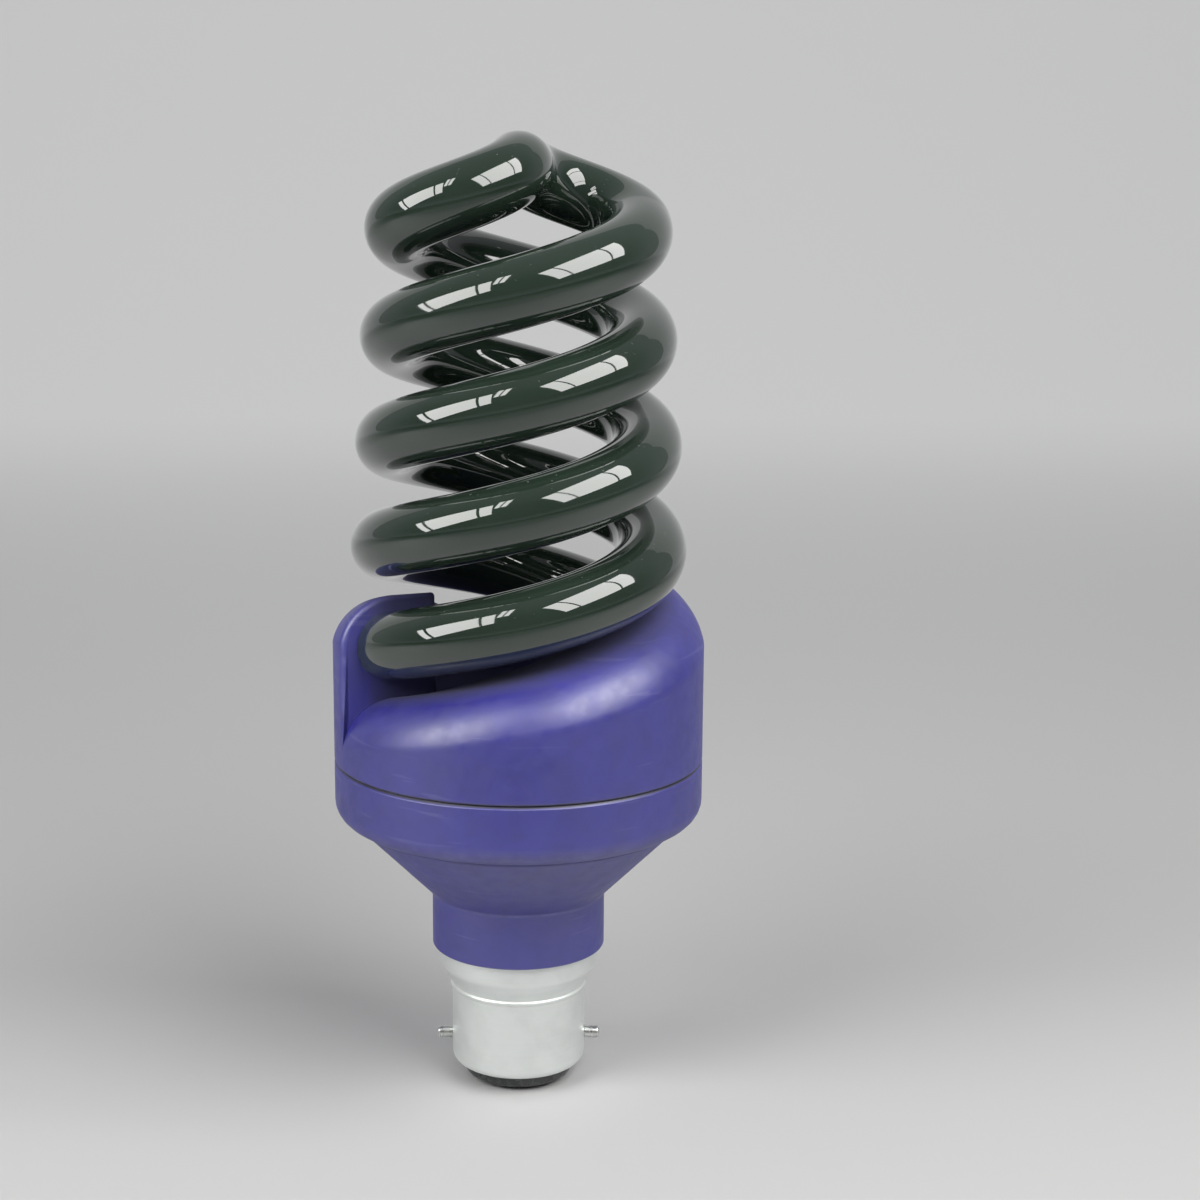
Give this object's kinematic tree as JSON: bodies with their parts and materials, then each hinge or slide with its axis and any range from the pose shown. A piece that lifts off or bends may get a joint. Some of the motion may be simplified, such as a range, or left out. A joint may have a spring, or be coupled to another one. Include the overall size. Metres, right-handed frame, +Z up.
{
  "type": "spiral black light lamp",
  "caption": "Compact spiral lamp: a dark glass tube wound as a double spiral on a blue-violet two-part housing, with a bayonet cap below.",
  "frame": {"origin": "on the lamp's axis, at the contact face of the bayonet cap", "axes": "+Z up along the lamp's axis from the cap to the spiral, bayonet pins along +X and -X"},
  "size_m": [0.06, 0.06, 0.1551],
  "materials": {
    "black_glass": "polished, very dark green-black",
    "violet_plastic": "satin blue-violet moulding",
    "cap_metal": "matte drawn sheet",
    "pin_metal": "bright",
    "black_insulator": "dark cast glass",
    "contact_metal": "soldered",
    "wire_sleeve": "plain sleeve",
    "board_laminate": "brown laminate",
    "capacitor_sleeve": "shrunk sleeve",
    "ferrite": "sintered",
    "copper": "enamelled winding",
    "film_coating": "dipped coating",
    "moulding_black": "moulded",
    "bare_wire": "tinned"
  },
  "bodies": {
    "root": {"discharge_tube": "black_glass", "housing_top": "violet_plastic", "housing_base": "violet_plastic", "cap_shell": "cap_metal", "bayonet_pin_right": "pin_metal", "bayonet_pin_left": "pin_metal", "cap_insulator": "black_insulator", "contact_plate_front": "contact_metal", "contact_plate_rear": "contact_metal", "supply_wire_front": "wire_sleeve", "supply_wire_rear": "wire_sleeve", "circuit_board": "board_laminate", "storage_capacitor": "capacitor_sleeve", "choke_core": "ferrite", "choke_coil": "copper", "drive_transformer": "ferrite", "resonance_capacitor": "film_coating", "filter_capacitor": "film_coating", "filter_choke": "ferrite", "transistor_front": "moulding_black", "transistor_rear": "moulding_black", "fuse_resistor": "film_coating", "rectifier_diode_1": "moulding_black", "rectifier_diode_2": "moulding_black", "rectifier_diode_3": "moulding_black", "rectifier_diode_4": "moulding_black", "tube_lead_right_1": "bare_wire", "terminal_post_right_1": "bare_wire", "tube_lead_right_2": "bare_wire", "terminal_post_right_2": "bare_wire", "tube_lead_left_1": "bare_wire", "terminal_post_left_1": "bare_wire", "tube_lead_left_2": "bare_wire", "terminal_post_left_2": "bare_wire"}
  },
  "joints": []
}
